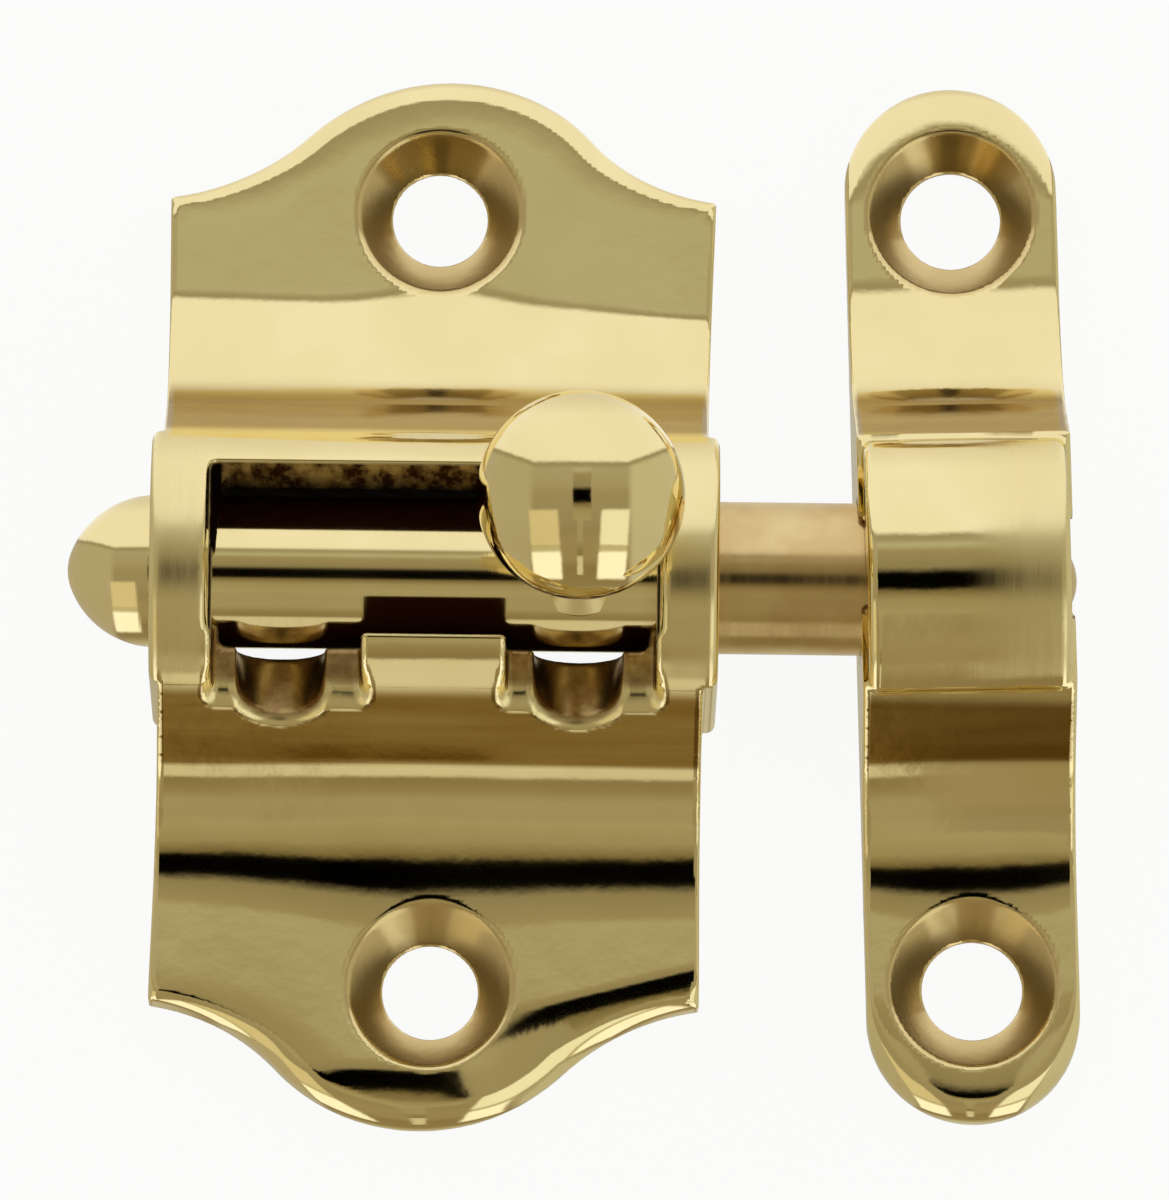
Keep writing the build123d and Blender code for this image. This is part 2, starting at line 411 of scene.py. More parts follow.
def cast_piece(name, field, low, high, step, marks):
    """A casting's mesh from its field in mm, with a painted number for each kind of finish."""
    shading_reach = 0.11
    points, quads, kind, way = skin(field, low, high, step)
    points = settle(field, points, quads, kind, way, step)
    normals = slope_of(field, points, shading_reach)
    normals /= np.maximum(np.linalg.norm(normals, axis=1, keepdims=True), 1e-9)
    mesh = bpy.data.meshes.new(name)
    mesh.vertices.add(len(points))
    mesh.vertices.foreach_set("co", (points / 1000).astype(np.float32).ravel())
    mesh.loops.add(quads.size)
    mesh.loops.foreach_set("vertex_index", quads.ravel().astype(np.int32))
    mesh.polygons.add(len(quads))
    mesh.polygons.foreach_set("loop_start", np.arange(0, quads.size, 4, dtype=np.int32))
    mesh.update(calc_edges=True)
    mesh.validate()
    mesh.shade_smooth()
    mesh.normals_split_custom_set_from_vertices(normals)
    for mark, paint in marks.items():
        layer = mesh.attributes.new(mark, "FLOAT", "POINT")
        layer.data.foreach_set("value", paint(points, normals).astype(np.float32))
    piece = bpy.data.objects.new(name, mesh)
    bpy.context.scene.collection.objects.link(piece)
    return piece


def housing_raw(p, n):
    """1 on the walls that were left as cast."""
    window = 1 - smooth(np.abs(housing_window(p)), 0.03, 0.2)
    return window * smooth(10.75 - p[:, 2], 0.0, 0.3) * smooth(np.abs(n[:, 2]), 0.8, 0.5)


def housing_painted_shade(p, n):
    """Painted shade: 1 on the window's walls below a given height, where they are painted near black for
    the little light that reaches down there.
    """
    in_window = box_field(p[:, 0], p[:, 1], (-9.8, -4.0), (9.8, 4.0), 0.3) < 0
    upper = smooth(6.35 - p[:, 2], 0.0, 0.3) * (p[:, 1] > 0)
    lower = smooth(10.6 - p[:, 2], 0.0, 0.3) * np.maximum(p[:, 1] <= 0, np.abs(p[:, 0]) > 8.9)
    return np.where(in_window, np.maximum(upper, lower), 0)


def housing_bored(p, n):
    """1 inside the cups, on the notch floors and in the rod's bore."""
    cups = 1 - smooth(np.abs(housing_cups(p)), 0.03, 0.2)
    bore = 1 - smooth(np.abs(housing_bore(p)), 0.02, 0.12)
    floors = (1 - smooth(np.abs(housing_notches(p)), 0.05, 0.2)) * smooth(p[:, 2], 8.6, 8.1)
    floors = floors * smooth(p[:, 1], -5.3, -4.9)
    return np.maximum(np.maximum(cups, bore), floors)


def housing_sunk(p, n):
    """1 on the countersinks."""
    return 1 - smooth(np.abs(housing_sinks(p)), 0.01, 0.08)


def corner_stain(p, n):
    """1 in the inner corners beside the barrel, which the polishing wheel can't reach."""
    far = np.abs(p[:, 1])
    in_corner = smooth(far, 5.3, 5.8) * smooth(8.9 - far, 0.0, 0.9)
    steep = np.abs(n[:, 1])
    return in_corner * np.where(p[:, 1] > 0, 0.85 * smooth(steep, 0.55, 0.8), smooth(steep, 0.8, 0.84))


def housing_satin(p, n):
    """1 where the barrel's ends and the lips of the cups kept the marks of the polishing belt."""
    on_barrel = smooth(p[:, 2], 9.0, 9.4) * smooth(np.abs(p[:, 0]), 9.2, 9.8)
    to_cuts = np.minimum(np.abs(housing_notches(p)), np.abs(housing_cups(p)))
    on_lips = (1 - smooth(to_cuts, 0.15, 0.45)) * smooth(-p[:, 1], 5.3, 5.6)
    return np.maximum(on_barrel * np.where(p[:, 0] < 0, 1.0, 0.75), on_lips)


def feed(tree, socket, value):
    """Links a socket to another one, or sets it where the value is a plain one."""
    if isinstance(value, bpy.types.NodeSocket):
        tree.links.new(value, socket)
    else:
        socket.default_value = value


def node(tree, kind, inputs=(), **settings):
    """A new node, with its settings made and then its inputs fed by name or by number."""
    made = tree.nodes.new(kind)
    for setting, value in settings.items():
        setattr(made, setting, value)
    for key, value in dict(inputs).items():
        feed(tree, made.inputs[key], value)
    return made


def new_group(name, kind, inputs, outputs):
    """A node group with its named sockets, and the sockets that bring its inputs in."""
    tree = bpy.data.node_groups.new(name, kind)
    for in_out, sockets in (("INPUT", inputs), ("OUTPUT", outputs)):
        for label, what in sockets.items():
            tree.interface.new_socket(label, in_out=in_out, socket_type="NodeSocket" + what)
    return tree, node(tree, "NodeGroupInput").outputs


def maths(tree, operation, first, second=0.0, clamp=False):
    inputs = {0: first, 1: second}
    return node(tree, "ShaderNodeMath", inputs, operation=operation, use_clamp=clamp).outputs[0]


def spread(tree, value, low, high, out_low, out_high):
    """A value between low and high, stretched to run from one number to another."""
    inputs = dict(enumerate((value, low, high, out_low, out_high)))
    return node(tree, "ShaderNodeMapRange", inputs).outputs["Result"]


def mixed(tree, kind, share, first, second):
    made = node(tree, "ShaderNodeMix", data_type=kind)
    for label, value in (("Factor", share), ("A", first), ("B", second)):
        feed(tree, next(i for i in made.inputs if i.name == label and i.enabled), value)
    return next(o for o in made.outputs if o.enabled)


def object_place(tree):
    return node(tree, "ShaderNodeTexCoord").outputs["Object"]


def noise(tree, scale, detail, roughness=0.5, stretch=None):
    """Noise over the piece's own place in metres, drawn out along an axis where stretch says so."""
    place = object_place(tree)
    if stretch:
        place = node(tree, "ShaderNodeMapping", {"Vector": place, "Scale": stretch}).outputs["Vector"]
    inputs = {"Vector": place, "Scale": scale, "Detail": detail, "Roughness": roughness}
    return node(tree, "ShaderNodeTexNoise", inputs).outputs["Fac"]


def hazed_brass_made():
    """Group: brass from the polishing wheel, a little clouded, between its brightest and haziest."""
    tree, given = new_group(
        "Hazed brass", "ShaderNodeTree",
        {"Polished": "Float", "Hazed": "Float"},
        {"Colour": "Color", "Roughness": "Float", "Grain": "Float"},
    )
    cloud = spread(tree, noise(tree, 220, 3), 0.35, 0.65, 0, 1)
    colour = mixed(tree, "RGBA", cloud, (0.86, 0.735, 0.385, 1), (0.9, 0.775, 0.43, 1))
    rough = spread(tree, noise(tree, 90, 2), 0.3, 0.7, given["Polished"], given["Hazed"])
    node(tree, "NodeGroupOutput", {"Colour": colour, "Roughness": rough, "Grain": noise(tree, 700, 3)})
    return tree


def cast_places_made():
    """Group: what the belt, the drill and the years leave on a casting, each where its mask is 1."""
    tree, given = new_group(
        "Cast and drilled places", "ShaderNodeTree",
        {
            "Colour": "Color", "Roughness": "Float", "Grain": "Float",
            "Satin": "Float", "Stain": "Float", "Bored": "Float", "Sunk": "Float",
        },
        {"Colour": "Color", "Roughness": "Float", "Height": "Float", "Mottle": "Float"},
    )
    brushed = noise(tree, 1.0, 4, 0.65, (2600, 120, 120))
    mottle = spread(tree, noise(tree, 1600, 3, 0.55, (1, 1, 0.28)), 0.4, 0.64, 0, 1)
    streaks = spread(tree, noise(tree, 1.0, 3, 0.5, (90, 900, 900)), 0.35, 0.65, 0.35, 0.9)
    tarnish = mixed(tree, "RGBA", streaks, (0.38, 0.25, 0.07, 1), (0.24, 0.135, 0.022, 1))
    from_drill = mixed(tree, "RGBA", mottle, (0.3, 0.19, 0.08, 1), (0.42, 0.3, 0.13, 1))
    from_sink = (0.72, 0.56, 0.27, 1)
    belt_marks = spread(tree, brushed, 0.3, 0.7, 0.24, 0.34)
    colour = given["Colour"]
    rough = mixed(tree, "FLOAT", given["Satin"], given["Roughness"], belt_marks)
    for mask, tone, dullness in (
        ("Stain", tarnish, 0.12), ("Bored", from_drill, 0.28), ("Sunk", from_sink, 0.2),
    ):
        colour = mixed(tree, "RGBA", given[mask], colour, tone)
        rough = mixed(tree, "FLOAT", given[mask], rough, dullness)
    height = mixed(tree, "FLOAT", given["Satin"], given["Grain"], brushed)
    results = {"Colour": colour, "Roughness": rough, "Height": height, "Mottle": mottle}
    node(tree, "NodeGroupOutput", results)
    return tree


def polished_brass(name, polished, hazed):
    """A brass material and its tree, with the colour, roughness and grain of the polished metal."""
    material = bpy.data.materials.new(name)
    material.use_nodes = True
    tree = material.node_tree
    tree.nodes["Principled BSDF"].inputs["Metallic"].default_value = 1.0
    inputs = {"Polished": polished, "Hazed": hazed}
    metal = node(tree, "ShaderNodeGroup", inputs, node_tree=hazed_brass).outputs
    return material, tree, metal["Colour"], metal["Roughness"], metal["Grain"]


def finished(tree, colour, rough, height):
    """Feeds the material's shader, with the height as a very shallow relief."""
    relief = {"Strength": 0.01, "Distance": 0.001, "Height": height}
    normal = node(tree, "ShaderNodeBump", relief).outputs["Normal"]
    shader = tree.nodes["Principled BSDF"]
    for label, value in (("Base Color", colour), ("Roughness", rough), ("Normal", normal)):
        feed(tree, shader.inputs[label], value)


def mark(tree, label):
    return node(tree, "ShaderNodeAttribute", attribute_name=label).outputs["Fac"]


def cast_brass(name):
    """The material of a casting and its tree, with what its cast and drilled places put out."""
    material, tree, colour, rough, grain = polished_brass(name, 0.05, 0.1)
    inputs = {"Colour": colour, "Roughness": rough, "Grain": grain}
    for mask in ("Satin", "Stain", "Bored", "Sunk"):
        inputs[mask] = mark(tree, mask.lower())
    return material, tree, node(tree, "ShaderNodeGroup", inputs, node_tree=cast_places).outputs


def housing_brass_made():
    """Polished brass, with matt brown walls in the window, painted near black low down as painted shade,
    and painted darker still where the rod mirrors them as a painted reflection.
    """
    material, tree, places = cast_brass("Polished cast brass, plate")
    raw = mark(tree, "raw")
    wall = mixed(tree, "RGBA", places["Mottle"], (0.05, 0.016, 0.003, 1), (0.52, 0.34, 0.11, 1))
    # Painted shade: the window's walls are painted near black low down, where little light comes.
    wall = mixed(tree, "RGBA", mark(tree, "painted_shade"), wall, (0.006, 0.002, 0.001, 1))
    # Painted reflection: to glossy rays, mostly from the rod, the wall is painted near black, darker
    # than the camera sees it.
    dark_reflection_painted = node(tree, "ShaderNodeLightPath").outputs["Is Glossy Ray"]
    wall = mixed(tree, "RGBA", dark_reflection_painted, wall, (0.022, 0.006, 0.002, 1))
    colour = mixed(tree, "RGBA", raw, places["Colour"], wall)
    finished(tree, colour, mixed(tree, "FLOAT", raw, places["Roughness"], 0.6), places["Height"])
    shader = tree.nodes["Principled BSDF"]
    shader.inputs["Specular IOR Level"].default_value = 0.0
    feed(tree, shader.inputs["Metallic"], mixed(tree, "FLOAT", raw, 1.0, 0.08))
    return material


cell = 0.188
hazed_brass = hazed_brass_made()
cast_places = cast_places_made()
housing = cast_piece(
    "housing_casting", housing_field, (-12.4, -23.2, -0.4), (12.4, 23.2, 12.4), cell,
    {
        "raw": housing_raw, "painted_shade": housing_painted_shade, "bored": housing_bored,
        "sunk": housing_sunk, "satin": housing_satin, "stain": corner_stain,
    },
)
housing.data.materials.append(housing_brass_made())
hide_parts("housing")
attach(housing, "housing")


# Bolt: a plain round brass rod with a bullet nose turned on each end.
# It slides in the housing's bore and carries the knob.
ROD = {"left": -15.3, "right": 26.75, "radius": 3.175, "tip": 2.15, "side": 3.8}


def turned_tree():
    """Node tree that spins a drawn half profile round the X axis and then sets the piece in place."""
    tree, given = new_group(
        "Turned on the lathe", "GeometryNodeTree",
        {
            "Profile": "Geometry", "Steps round": "Int", "Weld distance": "Float",
            "Place": "Vector", "Turn": "Rotation", "Finish": "Material",
        },
        {"Piece": "Geometry"},
    )
    profile, around = given["Profile"], given["Steps round"]
    size = node(tree, "GeometryNodeAttributeDomainSize", {"Geometry": profile}, component="MESH")
    count = size.outputs["Point Count"]
    rows = maths(tree, "SUBTRACT", count, 1)
    around_closed = maths(tree, "ADD", around, 1)
    grid = node(tree, "GeometryNodeMeshGrid", {
        "Size X": rows, "Size Y": around, "Vertices X": count, "Vertices Y": around_closed,
    })
    spot = node(tree, "GeometryNodeInputPosition").outputs[0]
    split = node(tree, "ShaderNodeSeparateXYZ", {0: spot}).outputs
    row = maths(tree, "ROUND", maths(tree, "ADD", split["X"], maths(tree, "MULTIPLY", rows, 0.5)))
    column = maths(tree, "ADD", split["Y"], maths(tree, "MULTIPLY", around, 0.5))
    angle = maths(tree, "MULTIPLY", maths(tree, "DIVIDE", column, around), 2 * math.pi)
    drawn = node(
        tree, "GeometryNodeSampleIndex", {"Geometry": profile, "Value": spot, "Index": row},
        data_type="FLOAT_VECTOR", domain="POINT",
    )
    spun = node(
        tree, "ShaderNodeVectorRotate", {"Vector": drawn.outputs["Value"], "Angle": angle},
        rotation_type="X_AXIS",
    )
    piece = grid.outputs["Mesh"]
    for kind, inputs in (
        ("GeometryNodeSetPosition", {"Position": spun.outputs["Vector"]}),
        ("GeometryNodeMergeByDistance", {"Distance": given["Weld distance"]}),
        ("GeometryNodeTransform", {"Translation": given["Place"], "Rotation": given["Turn"]}),
        ("GeometryNodeRealizeInstances", {}),
        ("GeometryNodeSetMaterial", {"Material": given["Finish"]}),
    ):
        piece = node(tree, kind, {"Geometry": piece, **inputs}).outputs["Geometry"]
    node(tree, "NodeGroupOutput", {"Piece": piece})
    return tree


def turned_piece(name, profile, place, turn, finish, around=192):
    """Draws the half profile (along, out) in mm and has the lathe tree spin it."""
    mesh = bpy.data.meshes.new(name + "_profile")
    points = [(a / 1000, r / 1000, 0) for a, r in profile]
    mesh.from_pydata(points, [(i, i + 1) for i in range(len(points) - 1)], [])
    blank = bpy.data.objects.new(name + "_profile", mesh)
    bpy.context.scene.collection.objects.link(blank)
    lathe = blank.modifiers.new("Lathe", "NODES")
    lathe.node_group = turned_on_lathe
    values = {
        "Steps round": around, "Weld distance": 1e-6, "Turn": turn, "Finish": finish,
        "Place": tuple(v / 1000 for v in place),
    }
    for item in turned_on_lathe.interface.items_tree:
        if item.in_out == "INPUT" and item.name in values:
            lathe[item.identifier] = values[item.name]
    graph = bpy.context.evaluated_depsgraph_get()
    made = bpy.data.meshes.new_from_object(blank.evaluated_get(graph))
    made.name = name
    bpy.data.objects.remove(blank)
    piece = bpy.data.objects.new(name, made)
    bpy.context.scene.collection.objects.link(piece)
    return piece


def outward(piece):
    """Turns every face outwards and shades the piece smooth up to its sharp edges."""
    work = bmesh.new()
    work.from_mesh(piece.data)
    bmesh.ops.dissolve_degenerate(work, edges=work.edges, dist=1e-8)
    bmesh.ops.recalc_face_normals(work, faces=work.faces)
    work.to_mesh(piece.data)
    work.free()
    piece.data.shade_smooth()
    piece.data.set_sharp_from_angle(angle=math.radians(38))


def rod_profile():
    """Half profile from tip to tip: a small round, a longer arc, the straight, and the same back."""
    left, right, radius, tip, side = (ROD[k] for k in ("left", "right", "radius", "tip", "side"))
    tip_steps, side_steps, straight_steps = 12, 24, 60
    drop = side - radius
    back = math.sqrt((side - tip) ** 2 - drop**2)
    turn = math.atan2(drop, back)
    nose = []
    for n in range(tip_steps + 1):
        t = turn * n / tip_steps
        nose.append((tip - tip * math.cos(t), tip * math.sin(t)))
    for n in range(1, side_steps + 1):
        t = turn + (math.pi / 2 - turn) * n / side_steps
        nose.append((tip + back - side * math.cos(t), side * math.sin(t) - drop))
    run = [(left + a, r) for a, r in nose]
    start, length = run[-1][0], right - left - 2 * nose[-1][0]
    run += [(start + length * n / straight_steps, radius) for n in range(1, straight_steps)]
    return run + [(right - a, r) for a, r in reversed(nose)]


def rod_brass_made():
    """Turned brass: bright where the knob rubs in the window, brushed and tarnished outside it."""
    material, tree, colour, rough, _ = polished_brass("Turned brass, rod", 0.07, 0.12)
    along = node(tree, "ShaderNodeSeparateXYZ", {0: object_place(tree)}).outputs["X"]
    outside = spread(tree, along, 0.0085, 0.0112, 0, 1)
    rings = noise(tree, 1.0, 4, 0.5, (2200, 60, 60))
    stain = maths(tree, "MULTIPLY", maths(tree, "MULTIPLY", noise(tree, 380, 3), 1.7), outside)
    colour = mixed(tree, "RGBA", stain, colour, (0.68, 0.5, 0.24, 1))
    brushed = maths(tree, "MULTIPLY", maths(tree, "MULTIPLY", rings, 0.24), outside)
    finished(tree, colour, maths(tree, "ADD", rough, brushed), rings)
    return material


turned_on_lathe = turned_tree()
on_axis, no_turn = (0, 0, HOUSING["axis"]), (0, 0, 0)
rod = turned_piece("bolt_rod_turned", rod_profile(), on_axis, no_turn, rod_brass_made())
outward(rod)
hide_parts("bolt_rod")
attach(rod, "bolt")


# Knob: a brass ball on a short waisted stem, turned in one and polished.
# Its flared foot sits on the rod like a saddle, and it stands a few degrees off upright.
KNOB = {"lean": math.radians(4.0), "seat_radius": 3.205, "seat_half": 8}


def knob_profile():
    """Half profile from the foot's middle up: flare, waist, stem, the round under the ball, the ball."""
    ball, height, stem, neck = 4.3, 11.3, 1.35, 0.5
    flare, rim, taper, taper_height, waist = 2.4, 2.3, 1.52, 3.4, 4.6
    few, ball_steps = 8, 60
    centre = height - math.sqrt((ball + neck) ** 2 - (stem + neck) ** 2)
    meet_angle = math.atan2(stem + neck, height - centre)
    run = [(0.0, flare * n / few) for n in range(few + 1)]
    run += [(rim * n / 10, flare) for n in range(1, 11)]
    for n in range(1, few + 1):
        run.append((rim + (taper_height - rim) * n / few, flare + (taper - flare) * n / few))
    drop, narrow = waist - taper_height, taper - stem
    arc = (drop**2 + narrow**2) / (2 * narrow)
    sweep = math.asin(drop / arc)
    for n in range(1, few + 1):
        t = sweep * (1 - n / few)
        run.append((waist - arc * math.sin(t), stem + arc * (1 - math.cos(t))))
    run += [(waist + (centre - waist) * n / 6, stem) for n in range(1, 6)]
    for n in range(few + 1):
        t = (math.pi / 2 - meet_angle) * n / few
        run.append((centre + neck * math.sin(t), stem + neck - neck * math.cos(t)))
    start = math.pi - meet_angle
    for n in range(1, ball_steps + 1):
        t = start * (1 - n / ball_steps)
        run.append((height + ball * math.cos(t), ball * math.sin(t)))
    return run


def ball_brass_made():
    """Polished brass, left satin at the foot, where the wheel can't reach."""
    material, tree, colour, rough, grain = polished_brass("Polished brass, knob", 0.05, 0.08)
    height = node(tree, "ShaderNodeSeparateXYZ", {0: object_place(tree)}).outputs["Z"]
    satin = spread(tree, height, 0.0102, 0.0094, 0.0, 0.3)
    finished(tree, colour, maths(tree, "ADD", rough, satin), grain)
    return material


def leaning(piece):
    """Leans the upright knob back and sets it on the rod at its station."""
    c, s = math.cos(KNOB["lean"]), math.sin(KNOB["lean"])
    x, y, z = HOUSING["stations"][0] / 1000, 0.0, HOUSING["axis"] / 1000
    co = np.empty(len(piece.data.vertices) * 3)
    piece.data.vertices.foreach_get("co", co)
    co = co.reshape(-1, 3)
    tilted = np.stack(
        [co[:, 0] + x, co[:, 1] * c + co[:, 2] * s + y, -co[:, 1] * s + co[:, 2] * c + z], 1
    )
    piece.data.vertices.foreach_set("co", tilted.astype(np.float32).ravel())


ball_brass = ball_brass_made()
upright = (0, -math.pi / 2, 0)
knob = turned_piece("knob_turned", knob_profile(), (0, 0, 0), upright, ball_brass, 144)
half, radius = KNOB["seat_half"], KNOB["seat_radius"]
seat_profile = [(-half, 0), (-half, radius), (half, radius), (half, 0)]
saddle = turned_piece("saddle", seat_profile, (0, 0, 0), no_turn, ball_brass)
outward(knob)
outward(saddle)
seat = knob.modifiers.new("Seat", "BOOLEAN")
seat.operation, seat.solver, seat.object = "DIFFERENCE", "EXACT", saddle
seated = knob.evaluated_get(bpy.context.evaluated_depsgraph_get())
seated = bpy.data.meshes.new_from_object(seated)
knob.modifiers.remove(seat)
knob.data = seated
bpy.data.objects.remove(saddle)
leaning(knob)
outward(knob)
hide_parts("knob")
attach(knob, "knob")


# Keeper: a narrow cast-brass strap of the same section, with its own bore for the rod's tip.
# It screws to the frame beside the door, and in the photo it lies turned by two degrees.
KEEPER = {
    "x": 22.1, "turn": math.radians(1.9), "lift": 0.3, "holes": 16.6, "hole": 2.1, "sink": 3.55,
    "bore": 3.375, "half_height": 22.25, "half_width": 4.45, "half_barrel": 4.22,
}


def keeper_place(p):
    """The point as the keeper lies, turned about its middle."""
    c, s = math.cos(KEEPER["turn"]), math.sin(KEEPER["turn"])
    x, y = p[:, 0] - KEEPER["x"], p[:, 1]
    return x * c + y * s, -x * s + y * c, p[:, 2]


def keeper_sinks(p):
    x, y, z = keeper_place(p)
    return both_sinks(x, y - KEEPER["lift"], z, KEEPER)


def keeper_bore(p):
    return np.hypot(p[:, 1], p[:, 2] - HOUSING["axis"]) - KEEPER["bore"]


def keeper_field(p):
    """The whole keeper in mm: negative inside the brass."""
    h, k = HOUSING, KEEPER
    x, y, z = keeper_place(p)
    upper = y > 0
    z_hand = hand_polished(x, y, z, 11.0, 6.4, 2.9)
    far = np.abs(y - k["lift"])
    strap = np.hypot(x, np.maximum(far - k["half_height"] + k["half_width"], 0)) - k["half_width"]
    worn_end = 0.35 * smooth(far, 17.0, 20.5)
    fall = worn_end * (1 - np.clip(-strap / 2.4, 0, 1)) ** 2
    rise = np.where(upper, 8.2, 8.4 - 0.1 * x**2)
    corner = np.where(upper, 11.9, 11.2 + 0.0945 * rise)
    above = both_sweeps(far, z_hand + fall, upper, corner, rise)
    above = np.maximum(above, z - h["crease"][1])
    plate = meet(above, strap, 0.2 + 0.7 * smooth(far, 16.5, 20.0))
    worn_top = 0.03 * smooth(x, 0.5, 4.0) * x
    barrel = arch(y - 0.1, z_hand + worn_top, h["axis"], h["radius"], h["crease"][0])
    barrel = meet(barrel, np.abs(x) - k["half_barrel"], 0.4)
    body = meet(join(plate, barrel, 0.1), -z, 0.05)
    body = cut(body, keeper_bore(p), 0.08)
    return cut(body, keeper_sinks(p), 0.05)


def keeper_satin(p, n):
    return smooth(p[:, 2], 9.0, 9.4) * smooth(p[:, 0], 21.5, 24.5)


def keeper_bored(p, n):
    return 1 - smooth(np.abs(keeper_bore(p)), 0.02, 0.12)


def keeper_sunk(p, n):
    return 1 - smooth(np.abs(keeper_sinks(p)), 0.01, 0.06)


keeper = cast_piece(
    "keeper_casting", keeper_field, (16.4, -23.4, -0.4), (27.8, 23.4, 12.4), cell,
    {"stain": corner_stain, "satin": keeper_satin, "bored": keeper_bored, "sunk": keeper_sunk},
)
keeper_brass, tree, places = cast_brass("Polished cast brass, keeper")
finished(tree, places["Colour"], places["Roughness"], places["Height"])
keeper.data.materials.append(keeper_brass)
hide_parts("keeper")
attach(keeper, "housing")


# Table: a plain white sheet under the part, which glows a little for the camera.
# The brass mirrors the room instead of it.
def table_sheet():
    mesh = bpy.data.meshes.new("table")
    half = 4.0
    mesh.from_pydata(
        [(-half, -half, 0), (half, -half, 0), (half, half, 0), (-half, half, 0)], [], [(0, 1, 2, 3)]
    )
    sheet = bpy.data.objects.new("table", mesh)
    bpy.context.scene.collection.objects.link(sheet)
    material = bpy.data.materials.new("White sheet")
    material.use_nodes = True
    tree = material.node_tree
    tree.nodes.clear()
    path = node(tree, "ShaderNodeLightPath").outputs
    matt = node(tree, "ShaderNodeBsdfDiffuse", {"Color": (0.9, 0.9, 0.9, 1)}).outputs[0]
    glow = node(tree, "ShaderNodeEmission").outputs[0]
    clear = node(tree, "ShaderNodeBsdfTransparent").outputs[0]
    seen = maths(tree, "MULTIPLY", path["Is Camera Ray"], 0.93)
    paper = node(tree, "ShaderNodeMixShader", {0: seen, 1: matt, 2: glow}).outputs[0]
    inputs = {0: path["Is Glossy Ray"], 1: paper, 2: clear}
    paper = node(tree, "ShaderNodeMixShader", inputs).outputs[0]
    node(tree, "ShaderNodeOutputMaterial", {"Surface": paper})
    mesh.materials.append(material)
    return sheet


table_sheet()


# Camera: in front of the part, a little below it, as far off as a photographer stands.
# Its target is the middle of the picture, in mm across and up from the part's origin.
tilt_x, tilt_y, roll = math.radians(0.229), math.radians(13.062), math.radians(-0.646)
distance, target_across, target_up = 0.68, 6.2736, 0.2707
pixels_per_mm, sensor, image_height = 23.7941, 36, 1200
toward = np.array([
    -math.sin(tilt_x), -math.sin(tilt_y) * math.cos(tilt_x), math.cos(tilt_y) * math.cos(tilt_x)
])
up = np.array([0.0, 1.0, 0.0]) - toward * toward[1]
up /= np.linalg.norm(up)
right = np.cross(up, toward)
right, up = (
    math.cos(roll) * right - math.sin(roll) * up,
    math.sin(roll) * right + math.cos(roll) * up,
)
stand = (right * target_across + up * target_up) / 1000 + toward * distance
camera_data = bpy.data.cameras.new("camera")
camera_data.lens = distance * 1000 * pixels_per_mm * sensor / image_height
camera_data.clip_start, camera_data.clip_end = 0.01, 20
camera = bpy.data.objects.new("camera", camera_data)
bpy.context.scene.collection.objects.link(camera)
rows = [(right[n], up[n], toward[n], stand[n]) for n in range(3)]
camera.matrix_world = Matrix([*rows, (0, 0, 0, 1)])
bpy.context.scene.camera = camera


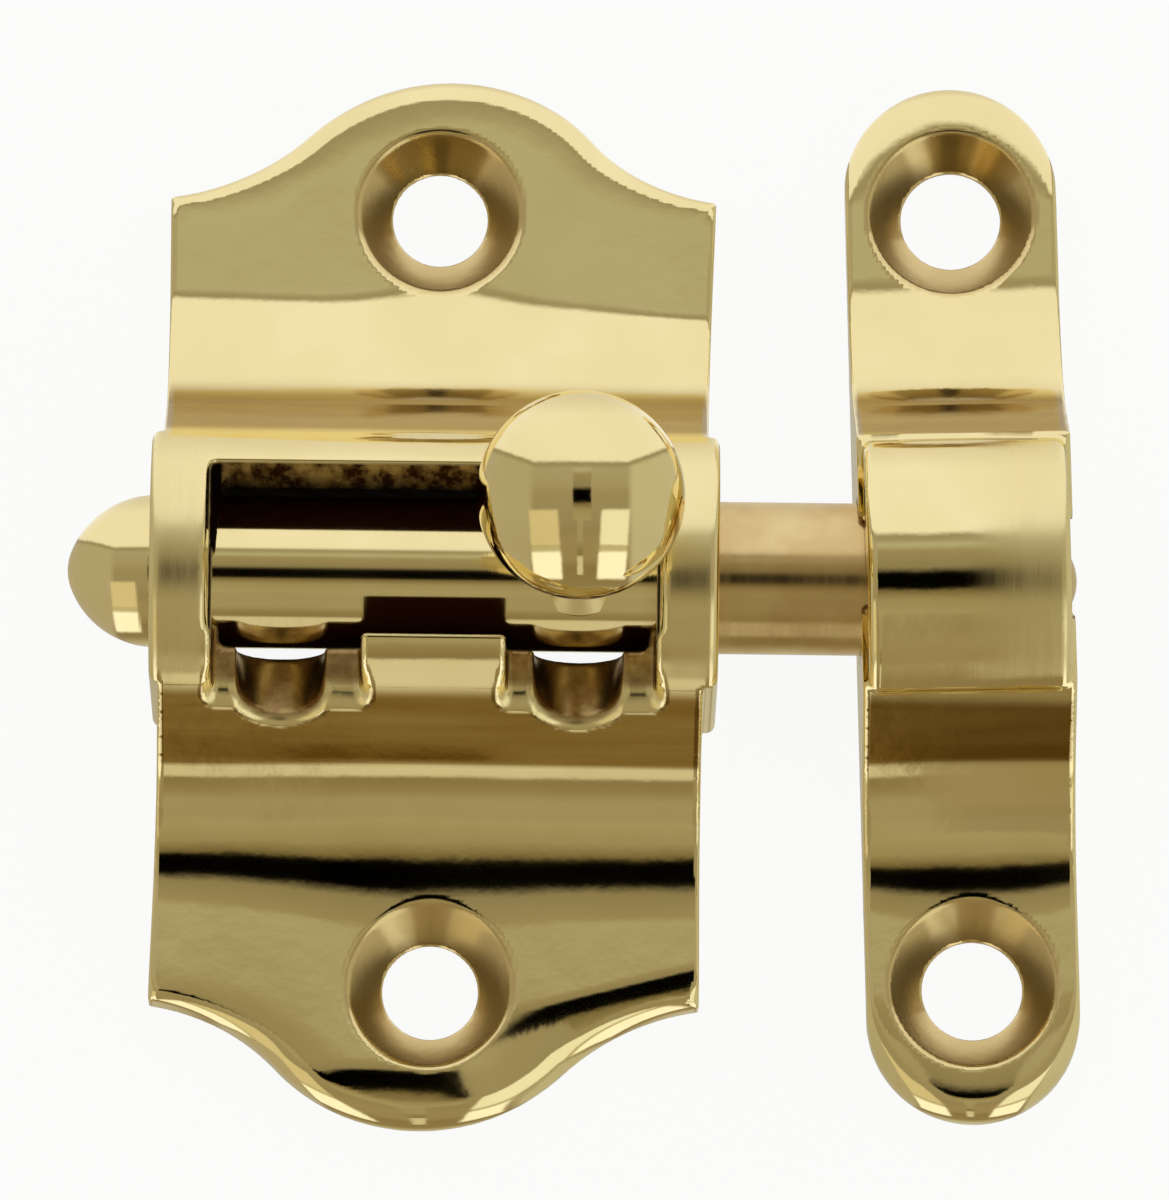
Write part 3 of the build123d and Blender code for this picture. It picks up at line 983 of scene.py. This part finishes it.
# Room: a bright ceiling above the part, plain walls, a dark strip in front and two bright
# windows lower down. Each direction is looked up on the mirror ball that the knob makes,
# so a colour sits where the ball shows it: u runs across the ball and v up it, -1 to 1.
def room():
    world = bpy.data.worlds.new("Room")
    bpy.context.scene.world = world
    world.use_nodes = True
    tree = world.node_tree
    tree.nodes.clear()
    everywhere = 2.0
    wall, ceiling, ceiling_edge = (0.36, 0.3, 0.2, 1), (0.98, 0.97, 0.94, 1), (0.36, 0.32, 0.22, 1)
    left_wall, right_wall, overhead = (0.5, 0.46, 0.36, 1), (0.6, 0.58, 0.47, 1), (0.66, 0.6, 0.48, 1)
    pane_bar, pane_light = (0.6, 0.56, 0.4, 1), (1.2, 1.2, 1.2, 1)

    def vector(operation, first, second=(0.0, 0.0, 0.0)):
        made = node(tree, "ShaderNodeVectorMath", {0: first, 1: second}, operation=operation)
        return made.outputs["Value" if operation == "DOT_PRODUCT" else "Vector"]

    def band(value, low, high, soft):
        """1 between low and high, with soft edges."""
        rise = maths(tree, "DIVIDE", maths(tree, "SUBTRACT", value, low - soft / 2), soft, True)
        fall = maths(tree, "DIVIDE", maths(tree, "SUBTRACT", high + soft / 2, value), soft, True)
        return maths(tree, "MULTIPLY", rise, fall)

    def over(share, under, colour):
        return mixed(tree, "RGBA", share, under, colour)

    def column(stops):
        """Colours from the floor to the ceiling, each at its height on the ball."""
        share = maths(tree, "DIVIDE", maths(tree, "ADD", v, 1.0), 2.0)
        ramp = node(tree, "ShaderNodeValToRGB", {"Fac": share})
        spots = ramp.color_ramp.elements
        while len(spots) > 1:
            spots.remove(spots[0])
        for n, (at, colour) in enumerate(stops):
            spot = spots[0] if n == 0 else spots.new((at + 1) / 2)
            spot.position, spot.color = (at + 1) / 2, (*colour, 1)
        return ramp.outputs["Color"]

    direction = node(tree, "ShaderNodeTexCoord").outputs["Generated"]
    half = vector("NORMALIZE", vector("ADD", direction, tuple(toward)))
    u = vector("DOT_PRODUCT", half, tuple(right))
    v = vector("DOT_PRODUCT", half, tuple(up))
    seen = column((
        (-1.0, (0.66, 0.65, 0.55)), (-0.93, (0.5, 0.45, 0.32)), (-0.86, (0.3, 0.24, 0.13)),
        (-0.7, (0.27, 0.21, 0.11)), (-0.6, (0.36, 0.3, 0.18)), (-0.5, (0.36, 0.3, 0.18)),
        (-0.42, (0.36, 0.3, 0.2)), (-0.34, (0.33, 0.28, 0.17)), (-0.27, (0.35, 0.3, 0.2)),
        (-0.1, (0.36, 0.32, 0.22)), (0.02, (0.38, 0.33, 0.22)), (0.11, (0.43, 0.39, 0.28)),
        (0.26, (0.45, 0.42, 0.33)),
    ))
    seen = over(band(u, -everywhere, -0.47, 0.06), seen, left_wall)
    seen = over(band(u, 0.47, everywhere, 0.06), seen, right_wall)
    low_down = maths(tree, "MULTIPLY", band(v, -0.95, -0.3, 0.3), band(u, -everywhere, everywhere, 0.1))
    seen = over(maths(tree, "MULTIPLY", low_down, 0.15), seen, wall)
    aside = maths(tree, "MAXIMUM", maths(tree, "SUBTRACT", maths(tree, "ABSOLUTE", u), 0.45), 0.0)
    above = maths(tree, "SUBTRACT", v, maths(tree, "MULTIPLY", aside, 0.38))
    seen = over(band(above, 0.27, everywhere, 0.04), seen, ceiling_edge)
    seen = over(band(above, 0.315, everywhere, 0.03), seen, ceiling)
    seen = over(band(v, 0.92, everywhere, 0.3), seen, overhead)
    taper = maths(tree, "MULTIPLY", maths(tree, "ADD", v, 0.3), 0.07)
    left_window = (-0.486, -0.21, (0.74, 0.66, 0.46, 1))
    right_window = (0.19, 0.457, (0.98, 0.99, 0.9, 1))
    for low, high, upper_pane in (left_window, right_window):
        side = 1 if low < 0 else -1
        pane = band(maths(tree, "ADD", u, maths(tree, "MULTIPLY", taper, side)), low, high, 0.025)
        for foot, head, tone in (
            (-0.485, -0.143, upper_pane), (-0.54, -0.485, pane_bar), (-0.8, -0.54, pane_light),
        ):
            seen = over(maths(tree, "MULTIPLY", pane, band(v, foot, head, 0.03)), seen, tone)
    strip = column((
        (-0.76, (0.72, 0.68, 0.56)), (-0.59, (0.7, 0.66, 0.54)), (-0.57, (0.27, 0.22, 0.12)),
        (-0.52, (0.3, 0.24, 0.13)), (-0.44, (0.4, 0.36, 0.24)), (-0.3, (0.4, 0.35, 0.24)),
        (-0.24, (0.42, 0.38, 0.25)), (-0.14, (0.37, 0.32, 0.2)), (-0.08, (0.2, 0.16, 0.08)),
        (-0.06, (0.0, 0.0, 0.0)), (0.045, (0.0, 0.0, 0.0)), (0.085, (0.3, 0.26, 0.17)),
        (0.195, (0.36, 0.31, 0.2)), (0.24, (0.53, 0.52, 0.41)), (0.27, (0.4, 0.36, 0.26)),
    ))
    for left, reach, low, high in ((-0.075, 0.1, -0.24, 0.27), (-0.036, 0.02, -0.76, -0.24)):
        line = maths(tree, "MULTIPLY", band(u, left, reach, 0.012), band(v, low, high, 0.01))
        seen = over(line, seen, strip)
    lit = node(tree, "ShaderNodeBackground", {"Color": seen, "Strength": 1.0}).outputs[0]
    plain = node(tree, "ShaderNodeBackground", {"Color": (1, 1, 1, 1)}).outputs[0]
    to_camera = node(tree, "ShaderNodeLightPath").outputs["Is Camera Ray"]
    mix = node(tree, "ShaderNodeMixShader", {0: to_camera, 1: lit, 2: plain}).outputs[0]
    node(tree, "ShaderNodeOutputWorld", {"Surface": mix})


room()
bpy.context.scene.view_settings.view_transform = "Standard"
